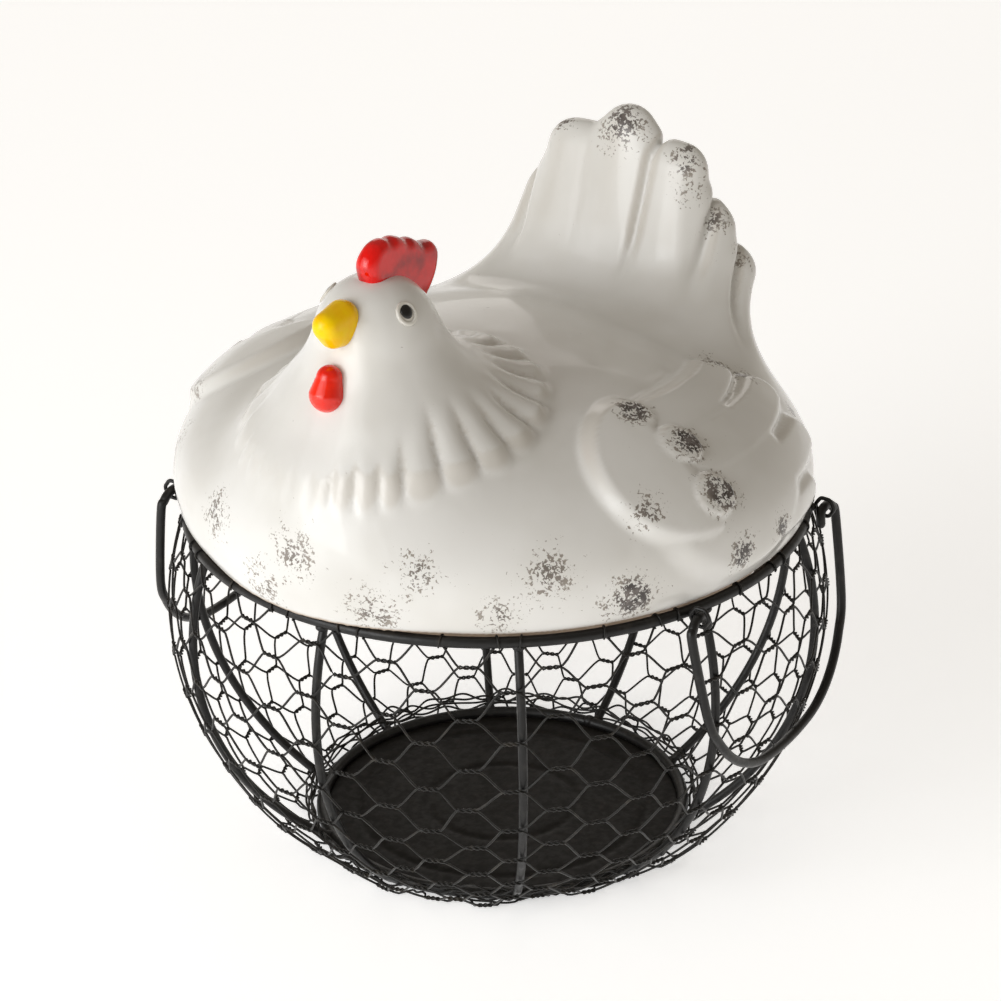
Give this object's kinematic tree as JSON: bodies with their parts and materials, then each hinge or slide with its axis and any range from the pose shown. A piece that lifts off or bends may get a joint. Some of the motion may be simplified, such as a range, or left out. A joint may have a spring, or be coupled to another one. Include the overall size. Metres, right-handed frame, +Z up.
{
  "type": "egg collection basket",
  "caption": "Round black wire egg basket with hexagonal netting over bent ribs, drop handles, and a lift-off glazed ceramic lid shaped as a sitting hen.",
  "frame": {"origin": "centre of the underside of the base plate, on the surface that the basket stands on", "axes": "+Z up along the basket's axis; the hen faces -Y, turned a few degrees towards -X; the handles hang on +X (the hen's left) and -X"},
  "size_m": [0.226, 0.2266, 0.2359],
  "materials": {
    "frame_wire": "satin black paint",
    "netting_wire": "satin black coating",
    "base_plate": "satin black paint",
    "white_glaze": "glossy warm white glaze with sponged grey-brown patches",
    "red_glaze": "glossy red glaze",
    "yellow_glaze": "glossy yellow glaze",
    "black_glaze": "glossy black glaze"
  },
  "bodies": {
    "basket": {"rim_ring": "frame_wire", "base_ring": "frame_wire", "base_plate": "base_plate", "rib_1": "frame_wire", "rib_2": "frame_wire", "rib_3": "frame_wire", "rib_4": "frame_wire", "rib_5": "frame_wire", "rib_6": "frame_wire", "rib_7": "frame_wire", "rib_8": "frame_wire", "rib_9": "frame_wire", "rib_10": "frame_wire", "netting": "netting_wire", "left_eyelet_front": "frame_wire", "left_eyelet_rear": "frame_wire", "right_eyelet_front": "frame_wire", "right_eyelet_rear": "frame_wire"},
    "left_handle": {"left_handle": "frame_wire"},
    "right_handle": {"right_handle": "frame_wire"},
    "lid": {"hen_body": "white_glaze", "comb": "red_glaze", "beak": "yellow_glaze", "wattle": "red_glaze", "left_eye": "black_glaze", "right_eye": "black_glaze"}
  },
  "joints": [
    {"name": "lid_lift", "type": "slide", "parent": "basket", "child": "lid", "axis": [0, 0, 1], "range_m": [0, 0.15]},
    {"name": "left_handle_swing", "type": "hinge", "parent": "basket", "child": "left_handle", "pos_m": [0.10126, 0, 0.1196], "axis": [0, -1, 0], "range_deg": [0, 160]},
    {"name": "right_handle_swing", "type": "hinge", "parent": "basket", "child": "right_handle", "pos_m": [-0.10126, 0, 0.1196], "axis": [0, 1, 0], "range_deg": [0, 160]}
  ]
}
